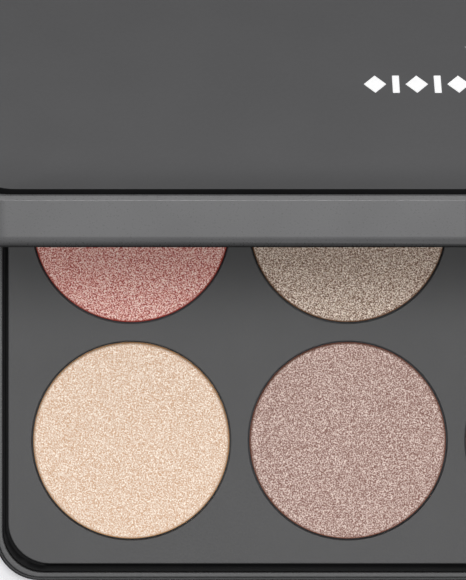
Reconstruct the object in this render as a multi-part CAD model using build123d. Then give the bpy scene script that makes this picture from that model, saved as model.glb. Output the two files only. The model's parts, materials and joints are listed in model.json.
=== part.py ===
from build123d import *
import math
import os

# An eyeshadow palette: a shallow base that holds a grid of round pressed powders in metal pans, and a
# lid with a mirror, hinged along the back on two steel pins.
# Millimetres and degrees. +X right, -Y towards the user, +Z up. The origin is the centre of the flat
# underside of the base. Insets are measured inwards from the outside of the base or lid.

# --- powders and pans -----------------------------------------------------------------------------
COLUMNS = 5
ROW_NAMES = ("front", "middle", "back")
PAN_OUTER_RADIUS = 13.5
PAN_SPACING = 1.2  # plastic between neighbouring pan wells
PAN_WALL = 0.35
PAN_FLOOR = 0.4
PAN_HEIGHT = 3.7
PAN_FOOT_ROUND = 0.6
POWDER_TO_PAN = 0.02  # radial room between powder and pan wall
POWDER_TO_PLATE = 0.25  # radial room between the powder's raised top and the plate's opening
POWDER_CROWN = 0.15  # how far the middle of a powder stands above its shoulder
POWDER_SHOULDER = 0.4  # rounding of the powder's top edge

# --- base -----------------------------------------------------------------------------------------
PLATE_MARGIN = 2.7  # from the outer row of pans to the edge of the face plate
PLATE_THICKNESS = 1.2
PLATE_CORNER_STEP = 0.5  # how much tighter the plate's corner is than the outside corner
OPENING_LIP = 0.4  # how far the plate reaches in over the rim of a pan
OPENING_ROUND = 0.12
PLATE_ROUND = 0.15  # rounding of the plate's outer top edge
SEAM_GAP_SIDE = 0.30  # between plate and carrier border
SEAM_GAP_FRONT = 0.36
BORDER_SIDE = 0.31  # width of the carrier's upstanding border, left and right
BORDER_FRONT = 0.65  # the same, front and back
FRAME_TO_BORDER = 0.05
FRAME_WIDTH = 0.67  # width of the rim frame's top
FRAME_ROUND = 0.18
FRAME_CORNER_STEP = 0.3
FRAME_INNER_CORNER_STEP = 0.6
SKIRT_TO_FRAME = 0.05
SKIRT_WALL = 0.40  # the thin top of the base wall, outside the rim frame
SKIRT_ROUND = 0.36
OUTER_CORNER = 6.0
FOOT_ROUND = 1.0
BASE_WALL = 1.05
BASE_FLOOR = 1.2
SKIRT_DROP = 0.4  # the skirt's top lies this far under the rim frame's top
FRAME_HEIGHT = 1.9
PLATE_DROP = 0.9  # the plate's top lies this far under the rim frame's top
BORDER_DROP = 0.2  # the border's top lies this far under the plate's top
CARRIER_TO_WALL = 0.12
CARRIER_SKIN = 0.55
CUP_FLOOR = 0.8
CUP_TO_FLOOR = 0.8
DECK = 1.0
PAN_TO_CUP = 0.15
PAN_TO_PLATE = 0.05
GLUE = 0.15
GLUE_DOT_RADIUS = 7.0
PEG_RADIUS = 0.9
PEG_LENGTH = 2.0
PEG_FIT = 0.03
PEG_BOSS_WALL = 0.8
LABEL_SIZE = (64.0, 32.0)
LABEL_CENTRE_X = -38.0
LABEL_CORNER = 2.0
LABEL_THICKNESS = 0.1
LABEL_RECESS = 0.15

# --- magnets --------------------------------------------------------------------------------------
MAGNET_RADIUS = 2.0
MAGNET_HEIGHT = 2.0
MAGNET_FIT = 0.05
MAGNET_SKIN = 0.6  # plastic left over a magnet
MAGNET_UNDER_PLATE = 0.3  # how far the plate covers a magnet's pocket, in front of it

# --- lid ------------------------------------------------------------------------------------------
CLOSING_GAP = 0.2
LID_HEIGHT = 6.64
LID_WALL = 1.4
LID_BEVEL_HEIGHT = 1.2  # the outer wall leans in over this height at its lower edge
LID_BEVEL_DEPTH = 0.4
LID_BEVEL_ROUND = 2.0
LIP_WIDTH = 0.74
LIP_BEVEL = 0.39
LIP_ROUND = 0.1
PANEL_RECESS = 2.2
LID_WEB = 1.0
PANEL_GROOVE = 1.24
PANEL_GLUE = 0.1
PANEL_DROP = 0.1  # the panel's rim lies this far under the lip
DISH_RIM = 0.4  # level rim of the panel, round its shallow dish
DISH_SLOPE = 8.0  # how far the dish's sloping side reaches in
DISH_DEPTH = 0.9
MIRROR_THICKNESS = 1.3
MIRROR_CORNER = 3.0
MIRROR_FIT = 0.1
MIRROR_UNDER_LIP = 1.5
BEZEL_FLANGE = 0.22  # thin flange of the bezel that covers the lid wall's lower edge
FLANGE_SETBACK = 0.02  # how far the flange stays inside the wall's lower edge
BEZEL_TO_WALL = 0.1
BEZEL_ROUND = 0.3
BEZEL_RIB = 0.45  # plastic between a magnet's pocket and what is beside it
NAIL_NOTCH_WIDTH = 14.0
NAIL_NOTCH_HEIGHT = 1.4

# --- printed ornament on the lid ------------------------------------------------------------------
PRINT_THICKNESS = 0.04
BAND_MARKS = 23  # alternate lozenges and bars in a row across the middle
BAND_PITCH = 2.45
BAND_HEIGHT = 3.9
LOZENGE_WIDTH = 2.6
BAR_WIDTH = 0.8
BAND_FROM_FRONT = 26.7  # from the front of the lid to the middle of the band
LONG_LOZENGE = (32.0, 1.8)
LONG_LOZENGE_RISE = 8.7  # from the band to the long lozenge above it

# --- hinge ----------------------------------------------------------------------------------------
OPEN_NOW = 56.8  # lid angle from closed, as modelled
OPEN_LIMIT = 120.0
STOP_SLACK = 2.5  # the heel would meet the base wall this far past the limit
KNUCKLE_SUNK = 1.4  # how far a knuckle reaches in from the back of the base
HINGE_CENTRE_X = 50.0
KNUCKLE_RADIUS = 2.0
KNUCKLE_ROOM = 0.3
BASE_KNUCKLE = 5.0
LID_KNUCKLE = 8.0
ARM_TANGENT = 30.0
PIN_RADIUS = 0.75
PIN_RUNNING_FIT = 0.05
PIN_END_CHAMFER = 0.15
HEEL_LENGTH = 32.0
HEEL_REACH = 2.0
HEEL_START = 0.9
HEEL_RISE = 4.5

# --- worked out from the sizes above --------------------------------------------------------------
ROWS = len(ROW_NAMES)
PAN_PITCH = 2 * (PAN_OUTER_RADIUS + PAN_TO_CUP) + PAN_SPACING
EDGE_PAN = PAN_OUTER_RADIUS + PLATE_MARGIN
FRAME_CORNER = OUTER_CORNER - FRAME_CORNER_STEP
FRAME_INNER_CORNER = OUTER_CORNER - FRAME_INNER_CORNER_STEP
PLATE_CORNER = OUTER_CORNER - PLATE_CORNER_STEP
FRAME_INSET = SKIRT_WALL + SKIRT_TO_FRAME
CARRIER_INSET = max(FRAME_INSET + FRAME_WIDTH + FRAME_TO_BORDER, BASE_WALL + CARRIER_TO_WALL)
PLATE_INSET_SIDE = CARRIER_INSET + BORDER_SIDE + SEAM_GAP_SIDE
PLATE_INSET_FRONT = CARRIER_INSET + BORDER_FRONT + SEAM_GAP_FRONT
WIDTH = (COLUMNS - 1) * PAN_PITCH + 2 * (EDGE_PAN + PLATE_INSET_SIDE)
DEPTH = (ROWS - 1) * PAN_PITCH + 2 * (EDGE_PAN + PLATE_INSET_FRONT)
OPENING_RADIUS = PAN_OUTER_RADIUS - OPENING_LIP
CUP_FLOOR_Z = BASE_FLOOR + CUP_TO_FLOOR + CUP_FLOOR
PAN_BASE_Z = CUP_FLOOR_Z + GLUE
PAN_RIM_Z = PAN_BASE_Z + PAN_HEIGHT
PLATE_UNDERSIDE = PAN_RIM_Z + PAN_TO_PLATE
PLATE_TOP = PLATE_UNDERSIDE + PLATE_THICKNESS
FRAME_TOP = PLATE_TOP + PLATE_DROP
BASE_SKIRT_TOP = FRAME_TOP - SKIRT_DROP
BEZEL_FACE_Z = FRAME_TOP + CLOSING_GAP
LID_BASE_Z = BEZEL_FACE_Z + BEZEL_FLANGE
LID_TOP_Z = LID_BASE_Z + LID_HEIGHT
RECESS_FLOOR_Z = LID_TOP_Z - PANEL_RECESS
WEB_UNDERSIDE_Z = RECESS_FLOOR_Z - LID_WEB
PANEL_INSET = LIP_WIDTH + PANEL_GROOVE
PANEL_CORNER = OUTER_CORNER - PANEL_INSET / 2
PANEL_RIM_Z = LID_TOP_Z - PANEL_DROP
PANEL_TOP_Z = PANEL_RIM_Z - DISH_DEPTH
MIRROR_TOP_Z = WEB_UNDERSIDE_Z - GLUE
FLANGE_INSET = LID_BEVEL_DEPTH + FLANGE_SETBACK
MAGNET_POCKET = MAGNET_RADIUS + MAGNET_FIT
BEZEL_INSET = LID_WALL + BEZEL_TO_WALL
MAGNET_INSET = MAGNET_POCKET + max(PLATE_INSET_FRONT + MAGNET_UNDER_PLATE, BEZEL_INSET + BEZEL_RIB)
MIRROR_INSET = MAGNET_INSET + MAGNET_POCKET + BEZEL_RIB
MIRROR_BORDER = MIRROR_INSET + MIRROR_UNDER_LIP
HINGE_BEHIND = KNUCKLE_RADIUS - KNUCKLE_SUNK
HINGE_Y = DEPTH / 2 + HINGE_BEHIND
HINGE_Z = FRAME_TOP + CLOSING_GAP / 2
HINGE = Axis((0, HINGE_Y, HINGE_Z), (1, 0, 0))
SMALL = 1.0  # how far a cutter runs past the face it cuts through


def rounded_block(inset_x, inset_y, corner, low_z, high_z):
    """A block with rounded upright corners, set in from the outside of the palette."""
    outline = RectangleRounded(WIDTH - 2 * inset_x, DEPTH - 2 * inset_y, corner)
    return Pos(0, 0, low_z) * extrude(outline, high_z - low_z)


def disc(x, y, radius, low_z, high_z):
    """An upright cylinder."""
    upright = Cylinder(radius, high_z - low_z, align=(Align.CENTER, Align.CENTER, Align.MIN))
    return Pos(x, y, low_z) * upright


def hinge_rod(radius, centre_x, length):
    """A cylinder on the hinge axis."""
    return Pos(centre_x, HINGE_Y, HINGE_Z) * Rot(0, 90, 0) * Cylinder(radius, length)


def side_profile(points, centre_x, length):
    """A prism along X from (y, z) points measured from the hinge axis."""
    corners = [(HINGE_Y + y, HINGE_Z + z) for y, z in points]
    wire = Polyline(*[(centre_x - length / 2, y, z) for y, z in corners], close=True)
    return extrude(make_face(wire), length, dir=(1, 0, 0))


def flat_edges(part, z):
    """The edges that lie in the level plane at height z."""
    return part.edges().filter_by_position(Axis.Z, z - 1e-3, z + 1e-3)


def pan_places():
    """The name and centre of each powder, row by row from the front, left to right."""
    places = []
    for row, row_name in enumerate(ROW_NAMES):
        for column in range(COLUMNS):
            x = (column - (COLUMNS - 1) / 2) * PAN_PITCH
            y = (row - (ROWS - 1) / 2) * PAN_PITCH
            places.append((f"{row_name}_{column + 1}", x, y))
    return places


def magnet_places():
    """One magnet near each end of the front, between the last two pans."""
    reach = (COLUMNS - 2) / 2 * PAN_PITCH
    return [(side * reach, -DEPTH / 2 + MAGNET_INSET) for side in (-1, 1)]


# --- hinge knuckles -------------------------------------------------------------------------------

def base_knuckle_centres():
    """The outer knuckles of each hinge belong to the base."""
    step = (LID_KNUCKLE + BASE_KNUCKLE) / 2 + KNUCKLE_ROOM
    return [hinge * HINGE_CENTRE_X + end * step for hinge in (-1, 1) for end in (-1, 1)]


def lid_knuckle_centres():
    """The middle knuckle of each hinge belongs to the lid."""
    return [-HINGE_CENTRE_X, HINGE_CENTRE_X]


def knuckle(centre_x, length, bore_radius, up, start_z):
    """A barrel with an arm to its wall. up is +1 for the lid's knuckles and -1 for the base's."""
    tangent = math.radians(ARM_TANGENT)
    touch_y = KNUCKLE_RADIUS * math.cos(tangent)
    touch_z = KNUCKLE_RADIUS * math.sin(tangent)
    root_y = -HINGE_BEHIND
    root_z = touch_z + (touch_y - root_y) / math.tan(tangent)
    inside_y = root_y - BASE_WALL / 2
    arm_points = [
        (inside_y, up * start_z),
        (inside_y, up * root_z),
        (root_y, up * root_z),
        (touch_y, up * touch_z),
        (0, up * start_z),
    ]
    solid = side_profile(arm_points, centre_x, length) + hinge_rod(KNUCKLE_RADIUS, centre_x, length)
    return solid - hinge_rod(bore_radius, centre_x, length + SMALL)


def knuckle_room(centres, length):
    """The space that the other half's knuckles turn in."""
    rooms = [hinge_rod(KNUCKLE_RADIUS + KNUCKLE_ROOM, x, length + 2 * KNUCKLE_ROOM) for x in centres]
    return Part() + rooms


# --- base -----------------------------------------------------------------------------------------

def base_shell():
    """The moulded outer tray: floor, walls, a thin skirt at the top and the outer hinge knuckles."""
    shell = rounded_block(0, 0, OUTER_CORNER, 0, BASE_SKIRT_TOP)
    shell = fillet(flat_edges(shell, 0), FOOT_ROUND)
    shell = fillet(flat_edges(shell, BASE_SKIRT_TOP), SKIRT_ROUND)
    rebate_z = FRAME_TOP - FRAME_HEIGHT
    shell -= rounded_block(BASE_WALL, BASE_WALL, FRAME_INNER_CORNER, BASE_FLOOR, BASE_SKIRT_TOP + SMALL)
    shell -= rounded_block(SKIRT_WALL, SKIRT_WALL, FRAME_CORNER, rebate_z, BASE_SKIRT_TOP + SMALL)
    shell -= Pos(LABEL_CENTRE_X, 0, 0) * extrude(RectangleRounded(*LABEL_SIZE, LABEL_CORNER), LABEL_RECESS)
    shell -= knuckle_room(lid_knuckle_centres(), LID_KNUCKLE)
    for centre_x in base_knuckle_centres():
        shell += knuckle(centre_x, BASE_KNUCKLE, PIN_RADIUS, -1, HINGE_Z - FRAME_TOP)
    return shell


def rim_frame():
    """The separate ring that stands just proud of the skirt, all round."""
    low_z = FRAME_TOP - FRAME_HEIGHT
    inner = FRAME_INSET + FRAME_WIDTH
    ring = rounded_block(FRAME_INSET, FRAME_INSET, FRAME_CORNER - SKIRT_TO_FRAME, low_z, FRAME_TOP)
    ring -= rounded_block(inner, inner, FRAME_INNER_CORNER, low_z - SMALL, FRAME_TOP + SMALL)
    ring = fillet(flat_edges(ring, FRAME_TOP), FRAME_ROUND)
    ring -= knuckle_room(lid_knuckle_centres(), LID_KNUCKLE)
    ring -= knuckle_room(base_knuckle_centres(), BASE_KNUCKLE)
    return ring


def peg_places():
    """One peg in the space between every four pans."""
    columns = range(COLUMNS - 1)
    rows = range(ROWS - 1)
    half_x = (COLUMNS - 2) / 2
    half_y = (ROWS - 2) / 2
    return [((c - half_x) * PAN_PITCH, (r - half_y) * PAN_PITCH) for c in columns for r in rows]


def pan_carrier():
    """The black moulded insert: a deck with a cup for each pan, magnet bosses and an upstanding border."""
    border_top = PLATE_TOP - BORDER_DROP
    border_x = CARRIER_INSET + BORDER_SIDE
    border_y = CARRIER_INSET + BORDER_FRONT
    skirt = CARRIER_INSET + CARRIER_SKIN
    deck_low = PLATE_UNDERSIDE - DECK
    carrier = rounded_block(CARRIER_INSET, CARRIER_INSET, FRAME_INNER_CORNER, BASE_FLOOR, border_top)
    carrier -= rounded_block(border_x, border_y, PLATE_CORNER, PLATE_UNDERSIDE, border_top + SMALL)
    carrier -= rounded_block(skirt, skirt, PLATE_CORNER, BASE_FLOOR - SMALL, deck_low)
    cup_radius = PAN_OUTER_RADIUS + PAN_TO_CUP
    cup_low = CUP_FLOOR_Z - CUP_FLOOR
    for _, x, y in pan_places():
        carrier += disc(x, y, cup_radius + CARRIER_SKIN, cup_low, deck_low + DECK / 2)
    for x, y in peg_places():
        boss_low = PLATE_UNDERSIDE - PEG_LENGTH - PEG_BOSS_WALL
        carrier += disc(x, y, PEG_RADIUS + PEG_BOSS_WALL, boss_low, deck_low + DECK / 2)
    magnet_low = PLATE_UNDERSIDE - MAGNET_FIT - MAGNET_HEIGHT
    for x, y in magnet_places():
        carrier += disc(x, y, MAGNET_RADIUS + MAGNET_SKIN, magnet_low - MAGNET_SKIN, deck_low + DECK / 2)
    for _, x, y in pan_places():
        carrier -= disc(x, y, cup_radius, CUP_FLOOR_Z, PLATE_UNDERSIDE + SMALL)
    for x, y in peg_places():
        carrier -= disc(x, y, PEG_RADIUS + PEG_FIT, PLATE_UNDERSIDE - PEG_LENGTH, PLATE_UNDERSIDE + SMALL)
    for x, y in magnet_places():
        carrier -= disc(x, y, MAGNET_POCKET, magnet_low, PLATE_UNDERSIDE + SMALL)
    return carrier - knuckle_room(lid_knuckle_centres(), LID_KNUCKLE)


def face_plate():
    """The plate that covers the carrier, with a round opening over each pan and pegs underneath."""
    plate = rounded_block(PLATE_INSET_SIDE, PLATE_INSET_FRONT, PLATE_CORNER, PLATE_UNDERSIDE, PLATE_TOP)
    plate = fillet(flat_edges(plate, PLATE_TOP), PLATE_ROUND)
    for _, x, y in pan_places():
        plate -= disc(x, y, OPENING_RADIUS, PLATE_UNDERSIDE - SMALL, PLATE_TOP + SMALL)
    openings = flat_edges(plate, PLATE_TOP).filter_by(GeomType.CIRCLE).sort_by(Edge.length)
    plate = fillet(openings[-ROWS * COLUMNS:], OPENING_ROUND)
    peg_low = PLATE_UNDERSIDE - PEG_LENGTH + PEG_FIT
    for x, y in peg_places():
        plate += disc(x, y, PEG_RADIUS, peg_low, PLATE_UNDERSIDE + PLATE_THICKNESS / 2)
    return plate


def pan(x, y):
    """A drawn aluminium pan."""
    cup = disc(x, y, PAN_OUTER_RADIUS, PAN_BASE_Z, PAN_RIM_Z)
    cup = fillet(flat_edges(cup, PAN_BASE_Z), PAN_FOOT_ROUND)
    return cup - disc(x, y, PAN_OUTER_RADIUS - PAN_WALL, PAN_BASE_Z + PAN_FLOOR, PAN_RIM_Z + SMALL)


def powder(x, y):
    """Pressed powder that fills its pan and rises, with a rounded shoulder, through the plate."""
    full = PAN_OUTER_RADIUS - PAN_WALL - POWDER_TO_PAN
    top = OPENING_RADIUS - POWDER_TO_PLATE
    low_z = PAN_BASE_Z + PAN_FLOOR
    side_z = PLATE_TOP - POWDER_SHOULDER
    flat_radius = top - POWDER_SHOULDER
    turn = POWDER_SHOULDER * math.sqrt(0.5)
    crown = (0, PLATE_TOP + POWDER_CROWN)
    outline = Polyline(crown, (0, low_z), (full, low_z), (full, PAN_RIM_Z), (top, PAN_RIM_Z), (top, side_z))
    outline += ThreePointArc((top, side_z), (flat_radius + turn, side_z + turn), (flat_radius, PLATE_TOP))
    outline += Spline((flat_radius, PLATE_TOP), crown, tangents=((-1, 0), (-1, 0)))
    return Pos(x, y, 0) * revolve(Plane.XZ * make_face(outline), Axis.Z)


def pan_adhesive():
    """A dot of glue under each pan."""
    dots = [disc(x, y, GLUE_DOT_RADIUS, CUP_FLOOR_Z, PAN_BASE_Z) for _, x, y in pan_places()]
    return Part() + dots


def base_magnets():
    """Disc magnets in the carrier, under the face plate."""
    low_z = PLATE_UNDERSIDE - MAGNET_FIT - MAGNET_HEIGHT
    return Part() + [disc(x, y, MAGNET_RADIUS, low_z, low_z + MAGNET_HEIGHT) for x, y in magnet_places()]


def bottom_label():
    """A blank paper label in a shallow recess underneath."""
    size_x = LABEL_SIZE[0] - 2 * LABEL_RECESS
    size_y = LABEL_SIZE[1] - 2 * LABEL_RECESS
    label = extrude(RectangleRounded(size_x, size_y, LABEL_CORNER - LABEL_RECESS), LABEL_THICKNESS)
    return Pos(LABEL_CENTRE_X, 0, LABEL_RECESS - LABEL_THICKNESS) * label


def hinge_pin(centre_x):
    """A steel pin, pressed into the base's knuckles and running in the lid's."""
    length = LID_KNUCKLE + 2 * (BASE_KNUCKLE + KNUCKLE_ROOM)
    pin = hinge_rod(PIN_RADIUS, centre_x, length)
    return chamfer(pin.edges().filter_by(GeomType.CIRCLE), PIN_END_CHAMFER)


# --- lid, modelled closed -------------------------------------------------------------------------

def stop_heel():
    """A wedge along the lid's back wall that meets the base's back wall when the lid is fully open."""
    turn = math.radians(OPEN_LIMIT + STOP_SLACK)
    foot_y = -HINGE_BEHIND * math.cos(turn)
    foot_z = -HINGE_BEHIND * math.sin(turn)
    along_y = math.sin(turn)
    along_z = -math.cos(turn)
    root_y = -HINGE_BEHIND
    inside_y = root_y - LID_WALL / 2
    start_z = LID_BASE_Z - HINGE_Z
    points = [
        (inside_y, start_z),
        (root_y, start_z),
        (foot_y + HEEL_START * along_y, foot_z + HEEL_START * along_z),
        (foot_y + HEEL_REACH * along_y, foot_z + HEEL_REACH * along_z),
        (root_y, HEEL_RISE),
        (inside_y, HEEL_RISE),
    ]
    return side_profile(points, 0, HEEL_LENGTH)


def nail_notch():
    """A shallow arch through the front wall's lower edge, for a fingernail."""
    half = NAIL_NOTCH_WIDTH / 2
    radius = (half**2 + NAIL_NOTCH_HEIGHT**2) / (2 * NAIL_NOTCH_HEIGHT)
    centre_z = LID_BASE_Z + NAIL_NOTCH_HEIGHT - radius
    arch = Rot(90, 0, 0) * Cylinder(radius, 2 * LID_WALL)
    return Pos(0, -DEPTH / 2, centre_z) * arch


def lid_shell():
    """The moulded lid: outer wall, a web across it, a lip round the top panel and the hinge knuckles."""
    shell = rounded_block(0, 0, OUTER_CORNER, LID_BASE_Z, LID_TOP_Z)
    underside = shell.faces().sort_by(Axis.Z)[0]
    shell = chamfer(underside.edges(), LID_BEVEL_DEPTH, LID_BEVEL_HEIGHT, reference=underside)
    shell = fillet(flat_edges(shell, LID_BASE_Z + LID_BEVEL_HEIGHT), LID_BEVEL_ROUND)
    shell = chamfer(flat_edges(shell, LID_TOP_Z), LIP_BEVEL)
    for bevel_z in (LID_TOP_Z, LID_TOP_Z - LIP_BEVEL):
        shell = fillet(flat_edges(shell, bevel_z), LIP_ROUND)
    recess_corner = OUTER_CORNER - LIP_WIDTH / 2
    shell -= rounded_block(LIP_WIDTH, LIP_WIDTH, recess_corner, RECESS_FLOOR_Z, LID_TOP_Z + SMALL)
    lip = shell.faces().sort_by(Axis.Z)[-1]
    shell = fillet(lip.inner_wires()[0].edges(), LIP_ROUND)
    cavity_corner = OUTER_CORNER - LID_WALL
    shell -= rounded_block(LID_WALL, LID_WALL, cavity_corner, LID_BASE_Z - SMALL, WEB_UNDERSIDE_Z)
    shell -= nail_notch()
    shell -= knuckle_room(base_knuckle_centres(), BASE_KNUCKLE)
    for centre_x in lid_knuckle_centres():
        shell += knuckle(centre_x, LID_KNUCKLE, PIN_RADIUS + PIN_RUNNING_FIT, 1, LID_BASE_Z - HINGE_Z)
    return shell + stop_heel()


def panel_adhesive():
    """The film that holds the top panel to the lid's web."""
    inset = PANEL_INSET + PANEL_GROOVE
    corner = OUTER_CORNER - inset
    return rounded_block(inset, inset, corner, RECESS_FLOOR_Z, RECESS_FLOOR_Z + PANEL_GLUE)


def panel_outline(inset, z):
    """A level rounded outline on the lid, set in from its outside."""
    outline = RectangleRounded(WIDTH - 2 * inset, DEPTH - 2 * inset, PANEL_CORNER)
    return Pos(0, 0, z) * outline


def lid_top_panel():
    """The separate outer panel, very slightly dished, in a recess with a groove all round it."""
    low_z = RECESS_FLOOR_Z + PANEL_GLUE
    panel = rounded_block(PANEL_INSET, PANEL_INSET, PANEL_CORNER, low_z, PANEL_RIM_Z)
    dish_edge = PANEL_INSET + DISH_RIM
    floor = panel_outline(dish_edge + DISH_SLOPE, PANEL_TOP_Z)
    return panel - loft([panel_outline(dish_edge, PANEL_RIM_Z), floor])


def lozenge(width, height):
    """A four-pointed outline."""
    return make_face(Polyline((-width / 2, 0), (0, -height / 2), (width / 2, 0), (0, height / 2), close=True))


def lid_ornament():
    """A printed row of lozenges and bars, and one long lozenge behind it. It carries no lettering."""
    band_y = -DEPTH / 2 + BAND_FROM_FRONT
    marks = []
    for index in range(BAND_MARKS):
        x = (index - (BAND_MARKS - 1) / 2) * BAND_PITCH
        is_lozenge = index % 2 == 0
        outline = lozenge(LOZENGE_WIDTH, BAND_HEIGHT) if is_lozenge else Rectangle(BAR_WIDTH, BAND_HEIGHT)
        marks.append(Pos(x, band_y, PANEL_TOP_Z) * extrude(outline, PRINT_THICKNESS))
    crest = extrude(lozenge(*LONG_LOZENGE), PRINT_THICKNESS)
    marks.append(Pos(0, band_y + LONG_LOZENGE_RISE, PANEL_TOP_Z) * crest)
    return Part() + marks


def mirror():
    """The glass mirror, held by glue and the bezel's lip."""
    low_z = MIRROR_TOP_Z - MIRROR_THICKNESS
    return rounded_block(MIRROR_INSET, MIRROR_INSET, MIRROR_CORNER, low_z, MIRROR_TOP_Z)


def mirror_adhesive():
    """The foam pad between mirror and web."""
    return rounded_block(MIRROR_BORDER, MIRROR_BORDER, MIRROR_CORNER, MIRROR_TOP_Z, WEB_UNDERSIDE_Z)


def mirror_bezel():
    """The frame round the mirror, which fills the lid out to its wall and hides the magnets."""
    pocket = MIRROR_INSET - MIRROR_FIT
    pocket_low = MIRROR_TOP_Z - MIRROR_THICKNESS - MIRROR_FIT / 2
    corner = OUTER_CORNER - BEZEL_INSET
    past_z = WEB_UNDERSIDE_Z + SMALL
    bezel = rounded_block(BEZEL_INSET, BEZEL_INSET, corner, BEZEL_FACE_Z, WEB_UNDERSIDE_Z)
    flange_corner = OUTER_CORNER - FLANGE_INSET
    bezel += rounded_block(FLANGE_INSET, FLANGE_INSET, flange_corner, BEZEL_FACE_Z, LID_BASE_Z)
    bezel -= rounded_block(MIRROR_BORDER, MIRROR_BORDER, MIRROR_CORNER, BEZEL_FACE_Z - SMALL, past_z)
    face = bezel.faces().sort_by(Axis.Z)[0]
    bezel = fillet(face.inner_wires()[0].edges(), BEZEL_ROUND)
    bezel -= rounded_block(pocket, pocket, MIRROR_CORNER, pocket_low, past_z)
    for x, y in magnet_places():
        bezel -= disc(x, y, MAGNET_POCKET, BEZEL_FACE_Z + MAGNET_SKIN, past_z)
    bezel -= nail_notch()
    bezel -= knuckle_room(lid_knuckle_centres(), LID_KNUCKLE)
    return bezel - knuckle_room(base_knuckle_centres(), BASE_KNUCKLE)


def lid_magnets():
    """Disc magnets in the bezel, over those in the base when the lid is shut."""
    low_z = BEZEL_FACE_Z + MAGNET_SKIN
    return Part() + [disc(x, y, MAGNET_RADIUS, low_z, low_z + MAGNET_HEIGHT) for x, y in magnet_places()]


def base_nodes():
    """Every piece of the base, by name."""
    nodes = {
        "base_shell": base_shell(),
        "rim_frame": rim_frame(),
        "pan_carrier": pan_carrier(),
        "face_plate": face_plate(),
        "pan_adhesive": pan_adhesive(),
        "base_magnets": base_magnets(),
        "bottom_label": bottom_label(),
        "hinge_pin_left": hinge_pin(-HINGE_CENTRE_X),
        "hinge_pin_right": hinge_pin(HINGE_CENTRE_X),
    }
    for name, x, y in pan_places():
        nodes["pan_" + name] = pan(x, y)
        nodes["powder_" + name] = powder(x, y)
    return nodes


def lid_nodes():
    """Every piece of the lid, by name, turned to the angle it stands open at."""
    closed = {
        "lid_shell": lid_shell(),
        "lid_top_panel": lid_top_panel(),
        "panel_adhesive": panel_adhesive(),
        "lid_ornament": lid_ornament(),
        "mirror": mirror(),
        "mirror_adhesive": mirror_adhesive(),
        "mirror_bezel": mirror_bezel(),
        "lid_magnets": lid_magnets(),
    }
    return {name: piece.rotate(HINGE, -OPEN_NOW) for name, piece in closed.items()}


os.makedirs("parts", exist_ok=True)
for node, shape in {**base_nodes(), **lid_nodes()}.items():
    export_step(shape, f"parts/{node}.step")
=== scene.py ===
import json
import math
import bmesh
import bpy
from mathutils import Matrix, Vector


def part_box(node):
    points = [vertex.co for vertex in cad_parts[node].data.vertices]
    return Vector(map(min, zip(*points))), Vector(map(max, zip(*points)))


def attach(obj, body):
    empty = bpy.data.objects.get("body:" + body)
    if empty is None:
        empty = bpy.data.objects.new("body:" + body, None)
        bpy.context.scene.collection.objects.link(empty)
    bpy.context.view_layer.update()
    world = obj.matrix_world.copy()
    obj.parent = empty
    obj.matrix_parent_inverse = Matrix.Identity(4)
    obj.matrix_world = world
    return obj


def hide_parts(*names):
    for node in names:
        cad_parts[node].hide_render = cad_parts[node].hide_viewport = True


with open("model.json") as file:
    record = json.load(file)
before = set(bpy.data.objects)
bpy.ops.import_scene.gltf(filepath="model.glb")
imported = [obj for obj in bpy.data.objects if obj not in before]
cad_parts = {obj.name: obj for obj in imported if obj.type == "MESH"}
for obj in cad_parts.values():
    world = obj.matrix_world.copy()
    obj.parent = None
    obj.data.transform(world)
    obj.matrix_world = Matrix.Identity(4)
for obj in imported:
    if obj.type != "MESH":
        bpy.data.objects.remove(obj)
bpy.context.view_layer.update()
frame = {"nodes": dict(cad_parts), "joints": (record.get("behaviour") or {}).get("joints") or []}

# --- Base shell and rim frame ---------------------------------------------------------------------
# The outer tray and the lighter ring pressed inside its skirt, injection moulded in dark grey ABS from
# spark-eroded steel moulds. The tray carries the outer knuckles of both hinges.
MM = 0.001
ABS_IOR = 1.54
SPARK_GRAIN_MM = 0.22  # spark-eroded grain is nearer 0.05 mm, drawn coarser so that it shows
SHADE_MOTTLE_MM = 9.0
NOISE_SPAN = {"From Min": 0.3, "From Max": 0.7}  # noise keeps mostly to its middle, which is stretched
SHARP_ANGLE = 38
MERGE_DISTANCE_MM = 0.0005


def linear(sheet_colour):
    """An sRGB hex colour as linear RGBA."""
    parts = [int(sheet_colour[i:i + 2], 16) / 255 for i in (0, 2, 4)]
    return [p / 12.92 if p <= 0.04045 else ((p + 0.055) / 1.055) ** 2.4 for p in parts] + [1.0]


def set_inputs(material, node, inputs):
    """Links each named input of a node to a socket, or sets it to a value."""
    for name, source in inputs.items():
        if isinstance(source, bpy.types.NodeSocket):
            material.node_tree.links.new(source, node.inputs[name])
        else:
            node.inputs[name].default_value = source


def add(material, kind, inputs, stops=(), **settings):
    """Adds a node with its settings, its inputs and, for a colour ramp, its stops. Returns its outputs."""
    node = material.node_tree.nodes.new("ShaderNode" + kind)
    for name, value in settings.items():
        setattr(node, name, value)
    if stops:
        elements = node.color_ramp.elements
        while len(elements) < len(stops):
            elements.new(0.5)
        for element, (position, colour) in zip(elements, stops):
            element.position = position
            element.color = linear(colour)
    set_inputs(material, node, inputs)
    return node.outputs


def new_material(name):
    """A material with its Principled shader, and the place of each point in the object's own space."""
    material = bpy.data.materials.new(name)
    material.use_nodes = True
    place = add(material, "TexCoord", {})["Object"]
    return material, material.node_tree.nodes["Principled BSDF"], place


def per_metre(size_mm):
    """The scale of a noise whose features are about size_mm across."""
    return 1 / (size_mm * MM)


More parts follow.
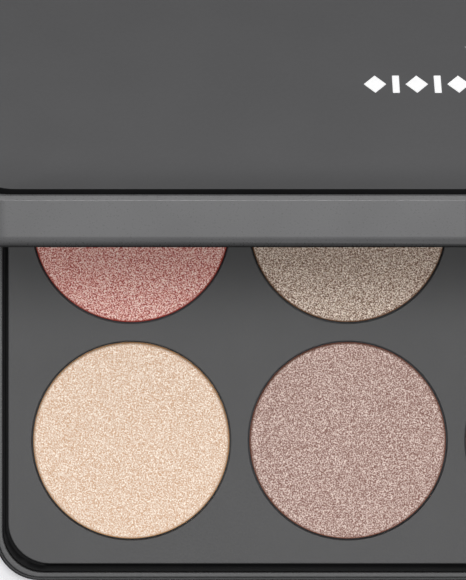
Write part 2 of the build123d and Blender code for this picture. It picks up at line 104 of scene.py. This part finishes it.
def moulded_plastic(name, colour, worn, roughness, grain_depth_mm, shine=0.5):
    """Moulded plastic: a slightly uneven shade, a fine eroded grain and a gloss that varies with it."""
    material, shader, place = new_material(name)
    grain = add(material, "TexNoise", {"Vector": place, "Scale": per_metre(SPARK_GRAIN_MM)})["Fac"]
    mottle = add(material, "TexNoise", {
        "Vector": place,
        "Scale": per_metre(SHADE_MOTTLE_MM),
        "Detail": 3.0,
    })["Fac"]
    smooth, rough = roughness
    gloss = add(material, "MapRange", {"Value": grain, "To Min": smooth, "To Max": rough, **NOISE_SPAN})
    wear = ((0.35, colour), (0.65, worn))
    set_inputs(material, shader, {
        "Base Color": add(material, "ValToRGB", {"Fac": mottle}, stops=wear)["Color"],
        "Roughness": gloss["Result"],
        "Normal": add(material, "Bump", {"Height": grain, "Distance": grain_depth_mm * MM})["Normal"],
        "IOR": ABS_IOR,
        "Specular IOR Level": shine,
    })
    return material


def finish_piece(name, mesh, material, body, *nodes):
    """Makes an object of a mesh, shades it, and lets it ride on a body in place of CAD nodes."""
    mesh.polygons.foreach_set("use_smooth", [True] * len(mesh.polygons))
    mesh.set_sharp_from_angle(angle=math.radians(SHARP_ANGLE))
    if material:
        mesh.materials.clear()
        mesh.materials.append(material)
    piece = bpy.data.objects.new(name, mesh)
    bpy.context.scene.collection.objects.link(piece)
    even = piece.modifiers.new("even_shading", "WEIGHTED_NORMAL")
    even.keep_sharp = True
    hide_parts(*nodes)
    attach(piece, body)
    return piece


def new_mesh(name, bm):
    """Closes a bmesh into a mesh, with its faces turned outward."""
    bmesh.ops.recalc_face_normals(bm, faces=bm.faces)
    mesh = bpy.data.meshes.new(name)
    bm.to_mesh(mesh)
    bm.free()
    return mesh


def merged_copy(node, material, body):
    """A copy of a CAD node with its loose triangles merged, so that its rounded edges shade smoothly."""
    bm = bmesh.new()
    bm.from_mesh(frame["nodes"][node].data)
    bmesh.ops.remove_doubles(bm, verts=bm.verts, dist=MERGE_DISTANCE_MM * MM)
    mesh = bpy.data.meshes.new(node + "_finished")
    bm.to_mesh(mesh)
    bm.free()
    return finish_piece(node + "_finished", mesh, material, body, node)


# Satin ABS: dark neutral grey, with a soft broad highlight and a barely visible grain. Its grey is painted
# darker than the ring's, as the shade on the tray's outer edge.
satin_abs_painted_dark = moulded_plastic("satin_moulded_abs", "2b2b2c", "2f2f30", (0.42, 0.52), 0.0016)
merged_copy("base_shell", satin_abs_painted_dark, "base")
# The ring's ABS is a shade lighter than the shell's painted-dark grey, and draws a pale line round the tray.
ring_abs = moulded_plastic("ring_moulded_abs", "414142", "454546", (0.42, 0.52), 0.0016)
merged_copy("rim_frame", ring_abs, "base")

# --- Pan carrier ----------------------------------------------------------------------------------
# The insert that holds the pans, moulded in matt black ABS. Only its upstanding border shows, as the dark
# step between the rim frame and the face plate; its black is painted shade standing in for the step's shadow.
# Matt black ABS: nearly no shine. On the carrier and the panel's sides its black is painted shade, so that
# the step reads as a shadow line.
black_abs_and_painted_shade = moulded_plastic("black_abs_and_painted_shade", "161617", "1a1a1b", (0.6, 0.7), 0.0016, shine=0.15)
merged_copy("pan_carrier", black_abs_and_painted_shade, "base")

# --- Face plate -----------------------------------------------------------------------------------
# The plate with a round opening over each pan, moulded in the case's grey with a finer, flatter grain,
# and pegged into the carrier.
# Fine-grain ABS: nearly the ring's grey, but flatter and duller, as a calm ground for the powders.
fine_abs = moulded_plastic("fine_grain_abs", "434344", "464647", (0.5, 0.58), 0.0010)
merged_copy("face_plate", fine_abs, "base")

# --- Bottom label ---------------------------------------------------------------------------------
# A blank paper label, die cut on its roll and stuck under the base, in a shallow recess that keeps it
# from rubbing.
LABEL_FIBRE_MM = 0.6
LABEL_FIBRE_DEPTH_MM = 0.01

# Uncoated label paper: warm white with cloudy fibres.
label_paper, label_shader, label_place = new_material("uncoated_label_paper")
fibres = add(label_paper, "TexNoise", {
    "Vector": label_place,
    "Scale": per_metre(LABEL_FIBRE_MM),
    "Detail": 6.0,
})["Fac"]
label_gloss = add(label_paper, "MapRange", {"Value": fibres, "To Min": 0.75, "To Max": 0.9, **NOISE_SPAN})
label_relief = add(label_paper, "Bump", {"Height": fibres, "Distance": LABEL_FIBRE_DEPTH_MM * MM})
label_shades = ((0.3, "e6e3dc"), (0.7, "f1efe9"))
set_inputs(label_paper, label_shader, {
    "Base Color": add(label_paper, "ValToRGB", {"Fac": fibres}, stops=label_shades)["Color"],
    "Roughness": label_gloss["Result"],
    "Normal": label_relief["Normal"],
})
merged_copy("bottom_label", label_paper, "base")

# --- Pans and their glue --------------------------------------------------------------------------
# Fifteen shallow pans, drawn from thin aluminium sheet. Each is held in the carrier's cup by a dot of
# hot glue, so that it can't rattle or lift out.
PLACES = [f"{row}_{column}" for row in ("front", "middle", "back") for column in range(1, 6)]
DRAW_MARK_MM = 0.3
DRAW_MARK_DEPTH_MM = 0.002


def drawn_metal(name, dark, light, roughness, stretch):
    """Metal with fine marks drawn out along one axis: stretch scales the noise along X, Y and Z."""
    material, shader, place = new_material(name)
    along = add(material, "Mapping", {"Vector": place, "Scale": stretch})["Vector"]
    marks = add(material, "TexNoise", {
        "Vector": along,
        "Scale": per_metre(DRAW_MARK_MM),
        "Detail": 4.0,
    })["Fac"]
    smooth, rough = roughness
    gloss = add(material, "MapRange", {"Value": marks, "To Min": smooth, "To Max": rough, **NOISE_SPAN})
    set_inputs(material, shader, {
        "Base Color": add(material, "ValToRGB", {"Fac": marks}, stops=((0.3, dark), (0.7, light)))["Color"],
        "Metallic": 1.0,
        "Roughness": gloss["Result"],
        "Normal": add(material, "Bump", {"Height": marks, "Distance": DRAW_MARK_DEPTH_MM * MM})["Normal"],
    })
    return material


# Drawn aluminium: a soft silvery sheen with upright draw marks on the pan's wall.
drawn_aluminium = drawn_metal("drawn_aluminium", "c9cacc", "d8d9db", (0.3, 0.42), (1.0, 1.0, 0.08))
for place_name in PLACES:
    merged_copy("pan_" + place_name, drawn_aluminium, "base")


GLUE_CLOUD_MM = 1.5
GLUE_LUMP_DEPTH_MM = 0.03


def cured_glue(name, colour, thick_colour, roughness):
    """Cured glue or foam: a clouded shade and a slightly lumpy skin."""
    material, shader, place = new_material(name)
    clouds = add(material, "TexNoise", {
        "Vector": place,
        "Scale": per_metre(GLUE_CLOUD_MM),
        "Detail": 3.0,
    })["Fac"]
    smooth, rough = roughness
    gloss = add(material, "MapRange", {"Value": clouds, "To Min": smooth, "To Max": rough, **NOISE_SPAN})
    clouding = ((0.3, colour), (0.7, thick_colour))
    set_inputs(material, shader, {
        "Base Color": add(material, "ValToRGB", {"Fac": clouds}, stops=clouding)["Color"],
        "Roughness": gloss["Result"],
        "Normal": add(material, "Bump", {"Height": clouds, "Distance": GLUE_LUMP_DEPTH_MM * MM})["Normal"],
    })
    return material


# Hot-melt glue: pale amber and a little glossy.
hot_melt = cured_glue("hot_melt_glue", "d9cfae", "c9bb90", (0.3, 0.45))
merged_copy("pan_adhesive", hot_melt, "base")

# --- Pressed powders ------------------------------------------------------------------------------
# Fifteen cakes of pressed pearl powder. Each fills its pan and rises through the plate, with a rounded
# shoulder and a very low crown.
TOP_RADIUS_MM = 12.92
SHOULDER_MM = 0.4
CROWN_MM = 0.15
PAN_RIM_UNDER_TOP_MM = 1.4  # from the powder's crown down to the pan's rim, with the crown itself
SHOULDER_STEPS = 6
CROWN_STEPS = 4
TURN_STEPS = 120
PEARL_MM = 0.17  # pearl flakes are nearer 0.05 mm, drawn coarser so that they show
CLUMP_MM = 0.6
PEARL_DEPTH_MM = 0.03
PEARL_TURN = (0.6, 0.5, 0.4)  # turns the noise out of level, so that its own grid doesn't show
SHADED_RIM_INSIDE_MM = 12.68  # from here outwards the rounded edge is painted a deeper, more saturated shade, for the shading of its shoulder
SHADED_RIM_OUTSIDE_MM = 12.9
GAP_MM = 12.94  # from here outwards the cake's ledge lies deep in the gap, and is painted dark as the gap's shade
# Painted shade: the bluish dark that colours the cake's ledge in the gap round it.
GAP_PAINTED_SHADE = "343c41"

# The shades: dark grain, body, light grain, brightest flake (partly a painted glint) and the painted shade of
# the edge.
SHADES = {
    "front_1": ("e2b48e", "ebcaae", "f3dcc8", "fdeedd", "f4b87c"),
    "front_2": ("84564a", "aa877c", "c6a99e", "e8d4ca", "a05e46"),
    "front_3": ("6a3325", "9c6350", "bf8e7c", "e4c4b4", "66291a"),
    "front_4": ("c8875f", "e3b49c", "f2d0bd", "fdeadd", "c27a50"),
    "front_5": ("cdb991", "ebdfcb", "f7efe2", "fffbf2", "cdac7c"),
    "middle_1": ("a83a30", "da857a", "efbcb0", "ffe9e0", "c8331f"),
    "middle_2": ("6e4c38", "ac907d", "d3beac", "f6e9dc", "86562e"),
    "middle_3": ("ad6a54", "d3a391", "e9c8ba", "f9e4d9", "a85a40"),
    "middle_4": ("553524", "84634f", "aa8b79", "d4bfae", "4e2c1a"),
    "middle_5": ("653e49", "936f79", "b99ca5", "dfccd2", "62303f"),
    "back_1": ("b89468", "d8c0a3", "ead9c3", "faf0e2", "b88a55"),
    "back_2": ("7f5029", "ab7f5b", "cbaa8c", "ead4bd", "754620"),
    "back_3": ("c98d84", "e5c3bc", "f3dcd7", "fdf0ec", "c58074"),
    "back_4": ("8a3f20", "b8734f", "d6a283", "f1d0b9", "863e1a"),
    "back_5": ("38241b", "5a4236", "806a5a", "ad9a8a", "321e14"),
}


def pressed_powder(name, centre, dark, body, light, flake_glint, edge):
    """Pressed pearl powder: fine light and dark flakes, the brightest partly painted glints, a painted shade
    round its rounded edge and a faint metallic glint.
    """
    material, shader, place = new_material(name)
    turned = add(material, "Mapping", {"Vector": place, "Rotation": PEARL_TURN})["Vector"]
    flakes = add(material, "TexNoise", {"Vector": turned, "Scale": per_metre(PEARL_MM), "Detail": 3.0})["Fac"]
    clumps = add(material, "TexNoise", {"Vector": turned, "Scale": per_metre(CLUMP_MM)})["Fac"]
    drift = add(material, "MapRange", {"Value": clumps, "To Min": -0.01, "To Max": 0.01, **NOISE_SPAN})
    grain = add(material, "Math", {0: flakes, 1: drift["Result"]}, operation="ADD")["Value"]
    # The light grain and brightest flake are partly the pearl's own pale flakes and partly painted glints of
    # its shimmer.
    stops = (0.38, dark), (0.47, body), (0.54, light), (0.64, flake_glint)
    grained = add(material, "ValToRGB", {"Fac": grain}, stops=stops)["Color"]
    from_centre = add(material, "VectorMath", {0: place, 1: centre}, operation="SUBTRACT")["Vector"]
    level = add(material, "VectorMath", {0: from_centre, 1: (1, 1, 0)}, operation="MULTIPLY")["Vector"]
    radius = add(material, "VectorMath", {0: level}, operation="LENGTH")["Value"]
    # Painted shade: a ring of deeper, more saturated colour at the rounded edge, where the shoulder turns
    # from the light.
    ring = add(material, "MapRange", {
        "Value": radius,
        "From Min": SHADED_RIM_INSIDE_MM * MM,
        "From Max": SHADED_RIM_OUTSIDE_MM * MM,
    }, interpolation_type="SMOOTHSTEP")["Result"]
    # Painted shade: beyond the gap's radius the colour turns to the gap's painted dark.
    in_shaded_gap = add(material, "Math", {0: radius, 1: GAP_MM * MM}, operation="GREATER_THAN")["Value"]
    with_shaded_rim = add(material, "Mix", {0: ring, 6: grained, 7: linear(edge)}, data_type="RGBA")[2]
    glint = add(material, "MapRange", {"Value": flakes, "To Min": 0.0, "To Max": 0.25, **NOISE_SPAN})
    gloss = add(material, "MapRange", {"Value": flakes, "To Min": 0.62, "To Max": 0.42, **NOISE_SPAN})
    set_inputs(material, shader, {
        "Base Color": add(material, "Mix", {0: in_shaded_gap, 6: with_shaded_rim, 7: linear(GAP_PAINTED_SHADE)}, data_type="RGBA")[2],
        "Metallic": glint["Result"],
        "Roughness": gloss["Result"],
        "Normal": add(material, "Bump", {"Height": flakes, "Distance": PEARL_DEPTH_MM * MM})["Normal"],
    })
    return material


def powder_mesh(name, low, high):
    """A cake of powder turned from its profile: side, ledge at the pan's rim, shoulder and crown."""
    full = (high.x - low.x) / 2
    top = TOP_RADIUS_MM * MM
    shoulder = SHOULDER_MM * MM
    plate_z = high.z - CROWN_MM * MM
    rim_z = high.z - PAN_RIM_UNDER_TOP_MM * MM
    profile = [(0, low.z), (full, low.z), (full, rim_z), (top, rim_z)]
    for step in range(SHOULDER_STEPS + 1):
        turn = math.pi / 2 * step / SHOULDER_STEPS
        out, up = shoulder * math.cos(turn), shoulder * math.sin(turn)
        profile.append((top - shoulder + out, plate_z - shoulder + up))
    for step in range(1, CROWN_STEPS + 1):
        part = step / CROWN_STEPS
        rise = 3 * part**2 - 2 * part**3
        profile.append(((top - shoulder) * (1 - part), plate_z + CROWN_MM * MM * rise))
    middle = (low + high) / 2
    bm = bmesh.new()
    points = [bm.verts.new((middle.x + radius, middle.y, z)) for radius, z in profile]
    edges = [bm.edges.new(pair) for pair in zip(points, points[1:])]
    bmesh.ops.spin(
        bm, geom=points + edges, cent=(middle.x, middle.y, 0), axis=(0, 0, 1), dvec=(0, 0, 0),
        angle=2 * math.pi, steps=TURN_STEPS, use_merge=True, use_duplicate=False)
    bmesh.ops.remove_doubles(bm, verts=bm.verts, dist=MERGE_DISTANCE_MM * MM)
    return new_mesh(name, bm)


for place_name in PLACES:
    low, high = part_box("powder_" + place_name)
    centre = ((low.x + high.x) / 2, (low.y + high.y) / 2, 0)
    powder = pressed_powder("pressed_powder_" + place_name, centre, *SHADES[place_name])
    cake = powder_mesh("cake_" + place_name, low, high)
    finish_piece("cake_" + place_name, cake, powder, "base", "powder_" + place_name)

# --- Magnets --------------------------------------------------------------------------------------
# Four disc magnets of sintered neodymium, nickel plated in a barrel, keep the lid shut. Two lie in
# pockets of the carrier, under the face plate, and two in the lid's bezel.
# Nickel plate: bright, slightly warm, with the soft ripple of barrel plating.
nickel_plate = drawn_metal("nickel_plate", "b9b4a8", "c8c3b7", (0.16, 0.26), (0.5, 0.5, 0.5))
merged_copy("base_magnets", nickel_plate, "base")
merged_copy("lid_magnets", nickel_plate, "lid")

# --- Hinge pins -----------------------------------------------------------------------------------
# Two steel pins, cut from ground rod and pressed into the base's outer knuckles. The lid's knuckles
# turn on them.
# Ground steel: cool grey with fine marks along the pin.
ground_steel = drawn_metal("ground_steel", "9b9da0", "b0b2b5", (0.22, 0.34), (0.06, 1.0, 1.0))
merged_copy("hinge_pin_left", ground_steel, "base")
merged_copy("hinge_pin_right", ground_steel, "base")

# --- Lid shell ------------------------------------------------------------------------------------
# The lid's outer part, moulded in one piece with a bevelled lip round its panel, the middle hinge
# knuckles and the heel that stops it when it is fully open.
# Glossier ABS: the lid's mould is polished, so its bevels catch thin bright lines.
lid_abs = moulded_plastic("polished_moulded_abs", "636364", "676768", (0.26, 0.34), 0.0008)
merged_copy("lid_shell", lid_abs, "lid")

# --- Lid top panel and its adhesive ---------------------------------------------------------------
# A separate panel with a soft-touch coat, glued in the lid's recess; its sides are black, a painted shade
# that darkens the groove round it. It is very slightly dished: its face curves up towards its rim.
PANEL_CORNER_MM = 5.01
DISH_DEPTH_MM = 0.9
DISH_WIDTH_MM = 8.2
DISH_STEPS = 14
CORNER_STEPS = 12
PEEL_MM = 0.5
PEEL_DEPTH_MM = 0.002

joint = frame["joints"][0]
hinge_place = Matrix.Translation(joint["pos_m"])
lid_turn = hinge_place @ Matrix.Rotation(math.radians(joint["range_deg"][0]), 4, "X") @ hinge_place.inverted()


def closed_box(node):
    """The lowest and highest corners of a lid node as it lies when the lid is shut."""
    shut = lid_turn.inverted()
    corners = [shut @ vertex.co for vertex in frame["nodes"][node].data.vertices]
    low = Vector([min(corner[axis] for corner in corners) for axis in range(3)])
    high = Vector([max(corner[axis] for corner in corners) for axis in range(3)])
    return low, high


def dished_panel():
    """The panel as it lies when the lid is shut: a rounded slab, its top drawn inwards and down in steps."""
    low, high = closed_box("lid_top_panel")
    middle, size = (low + high) / 2, high - low
    bm = bmesh.new()
    bmesh.ops.create_cube(bm, size=1, matrix=Matrix.Translation(middle) @ Matrix.Diagonal((*size, 1)))
    upright = [edge for edge in bm.edges if abs(edge.verts[0].co.z - edge.verts[1].co.z) > size.z / 2]
    bmesh.ops.bevel(
        bm, geom=upright, offset=PANEL_CORNER_MM * MM, segments=CORNER_STEPS, profile=0.5,
        affect="EDGES", material=-1)
    top = max(bm.faces, key=lambda face: face.calc_center_median().z)
    reach = size / 2
    sunk = 0
    for step in range(1, DISH_STEPS + 1):
        part = step / DISH_STEPS
        inner = size / 2 - part * DISH_WIDTH_MM * MM * Vector((1, 1, 0))
        lower = DISH_DEPTH_MM * MM * (2 * part - 2 * part**3 + part**4)
        top = bmesh.ops.extrude_discrete_faces(bm, faces=[top])["faces"][0]
        smaller = (inner.x / reach.x, inner.y / reach.y, 1)
        bmesh.ops.scale(bm, vec=smaller, space=Matrix.Translation(-middle), verts=top.verts)
        bmesh.ops.translate(bm, vec=(0, 0, sunk - lower), verts=top.verts)
        reach, sunk = inner, lower
    bm.transform(lid_turn)
    return new_mesh("dished_panel", bm)


# Soft-touch coat: dull dark grey, velvety, with the orange-peel of a sprayed coat.
soft_touch, soft_shader, soft_place = new_material("soft_touch_coat")
mottle = add(soft_touch, "TexNoise", {
    "Vector": soft_place,
    "Scale": per_metre(SHADE_MOTTLE_MM),
    "Detail": 3.0,
})["Fac"]
peel = add(soft_touch, "TexNoise", {"Vector": soft_place, "Scale": per_metre(PEEL_MM)})["Fac"]
soft_gloss = add(soft_touch, "MapRange", {"Value": peel, "To Min": 0.62, "To Max": 0.7, **NOISE_SPAN})
soft_shades = ((0.35, "6b6b6c"), (0.65, "6d6d6e"))
set_inputs(soft_touch, soft_shader, {
    "Base Color": add(soft_touch, "ValToRGB", {"Fac": mottle}, stops=soft_shades)["Color"],
    "Roughness": soft_gloss["Result"],
    "Normal": add(soft_touch, "Bump", {"Height": peel, "Distance": PEEL_DEPTH_MM * MM})["Normal"],
    "IOR": 1.45,
})
panel_mesh = dished_panel()
panel_mesh.materials.append(soft_touch)
panel_mesh.materials.append(black_abs_and_painted_shade)
face_up = (lid_turn.to_3x3() @ Vector((0, 0, 1))).normalized()
for polygon in panel_mesh.polygons:
    # Painted shade: faces not turned up, the panel's sides, take the black so the groove round the panel
    # reads dark.
    polygon.material_index = 0 if polygon.normal.dot(face_up) > 0.5 else 1
finish_piece("dished_panel", panel_mesh, None, "lid", "lid_top_panel")

# Contact film: clear, faintly yellow.
contact_film = cured_glue("contact_film", "cfc8b4", "c6bea6", (0.2, 0.3))
merged_copy("panel_adhesive", contact_film, "lid")

# --- Lid ornament ---------------------------------------------------------------------------------
# A row of lozenges and bars, with one long lozenge behind it, hot-stamped on the panel in white foil.
# It carries no lettering.
# White stamping foil: opaque and a little glossy, with the coat's peel showing through. A faint painted glow
# keeps it white on the tilted lid.
FOIL_PEEL_MM = 0.4

white_foil, foil_shader, foil_place = new_material("white_stamping_foil")
foil_peel = add(white_foil, "TexNoise", {"Vector": foil_place, "Scale": per_metre(FOIL_PEEL_MM)})["Fac"]
foil_gloss = add(white_foil, "MapRange", {"Value": foil_peel, "To Min": 0.3, "To Max": 0.4, **NOISE_SPAN})
foil_shades = ((0.3, "f4f4f4"), (0.7, "ffffff"))
set_inputs(white_foil, foil_shader, {
    "Base Color": add(white_foil, "ValToRGB", {"Fac": foil_peel}, stops=foil_shades)["Color"],
    "Roughness": foil_gloss["Result"],
    # Painted glow: the foil gives off a little light of its own to stay white; it is no lamp.
    "Emission Color": linear("ffffff"),
    "Emission Strength": 0.45,
    "Normal": add(white_foil, "Bump", {"Height": foil_peel, "Distance": PEEL_DEPTH_MM * MM})["Normal"],
})
merged_copy("lid_ornament", white_foil, "lid")

# --- Mirror, its pad and bezel --------------------------------------------------------------------
# A silvered glass mirror on a foam pad. The bezel that frames it is moulded in matt black ABS, and
# closes the lid's edge as well.
# Silvered glass: a clean mirror, with faint wiping marks in its gloss.
WIPE_MARK_MM = 12.0

mirror_glass, mirror_shader, mirror_place = new_material("silvered_glass")
wipe_marks = add(mirror_glass, "TexNoise", {
    "Vector": mirror_place,
    "Scale": per_metre(WIPE_MARK_MM),
    "Detail": 4.0,
})["Fac"]
mirror_gloss = add(mirror_glass, "MapRange", {
    "Value": wipe_marks,
    "To Min": 0.01,
    "To Max": 0.04,
    **NOISE_SPAN,
})
mirror_shades = ((0.3, "e8edec"), (0.7, "eef2f1"))
set_inputs(mirror_glass, mirror_shader, {
    "Base Color": add(mirror_glass, "ValToRGB", {"Fac": wipe_marks}, stops=mirror_shades)["Color"],
    "Metallic": 1.0,
    "Roughness": mirror_gloss["Result"],
})
merged_copy("mirror", mirror_glass, "lid")

# Closed-cell foam: white, matt and finely pitted.
foam_tape = cured_glue("closed_cell_foam", "e2e2e0", "d4d4d2", (0.8, 0.9))
merged_copy("mirror_adhesive", foam_tape, "lid")
merged_copy("mirror_bezel", black_abs_and_painted_shade, "lid")

# --- Camera, floor and light ----------------------------------------------------------------------
# Straight down over the front left of the tray, with a long lens, above a pale seamless floor. A small
# soft lamp right above makes the crisp edges, with wide ones round it, in front and behind. In metres.
VIEW_CENTRE = Vector((-0.0436, -0.0087, 0.0))
VIEW_DISTANCE = 0.560
VIEW_HEIGHT = 0.0763
FLOOR_SIZE = 3.0
PULP_MM = 40.0

plate_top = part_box("face_plate")[1].z
camera_data = bpy.data.cameras.new("camera")
camera_data.sensor_width = 36.0
camera_data.lens = camera_data.sensor_width * VIEW_DISTANCE / VIEW_HEIGHT
camera = bpy.data.objects.new("camera", camera_data)
camera.location = VIEW_CENTRE + Vector((0, 0, plate_top + VIEW_DISTANCE))
bpy.context.scene.collection.objects.link(camera)
bpy.context.scene.camera = camera

bm = bmesh.new()
bmesh.ops.create_grid(bm, x_segments=8, y_segments=8, size=FLOOR_SIZE)
floor_mesh = bpy.data.meshes.new("floor")
bm.to_mesh(floor_mesh)
bm.free()
floor = bpy.data.objects.new("floor", floor_mesh)
bpy.context.scene.collection.objects.link(floor)
white_paper, paper_shader, paper_place = new_material("matt_white_paper")
pulp = add(white_paper, "TexNoise", {"Vector": paper_place, "Scale": per_metre(PULP_MM)})["Fac"]
pulp_shades = ((0.3, "f2f2f4"), (0.7, "f4f4f6"))
set_inputs(white_paper, paper_shader, {
    "Base Color": add(white_paper, "ValToRGB", {"Fac": pulp}, stops=pulp_shades)["Color"],
    "Roughness": 0.9,
    "Emission Color": linear("f6f6f8"),
    "Emission Strength": 0.2,
})
floor_mesh.materials.append(white_paper)
floor.visible_diffuse = False
floor.visible_glossy = False

world = bpy.data.worlds.new("studio")
world.use_nodes = True
world.node_tree.nodes["Background"].inputs["Color"].default_value = linear("f6f6f8")
world.node_tree.nodes["Background"].inputs["Strength"].default_value = 0.12
bpy.context.scene.world = world


def soft_lamp(name, place, size, power):
    """A square area lamp turned towards the origin."""
    lamp = bpy.data.lights.new(name, "AREA")
    lamp.size = size
    lamp.energy = power
    holder = bpy.data.objects.new(name, lamp)
    holder.location = place
    holder.rotation_euler = (-Vector(place)).to_track_quat("-Z", "Y").to_euler()
    bpy.context.scene.collection.objects.link(holder)


soft_lamp("key_lamp", (-0.04, 0.03, 0.62), 0.07, 1.1)
soft_lamp("wide_softbox", (0.0, 0.0, 0.62), 0.5, 1.15)
soft_lamp("front_softbox", (0.0, -0.55, 0.55), 0.4, 1.4)
soft_lamp("back_softbox", (0.0, 0.6, 0.55), 0.4, 0.85)
bpy.context.scene.view_settings.view_transform = "Standard"
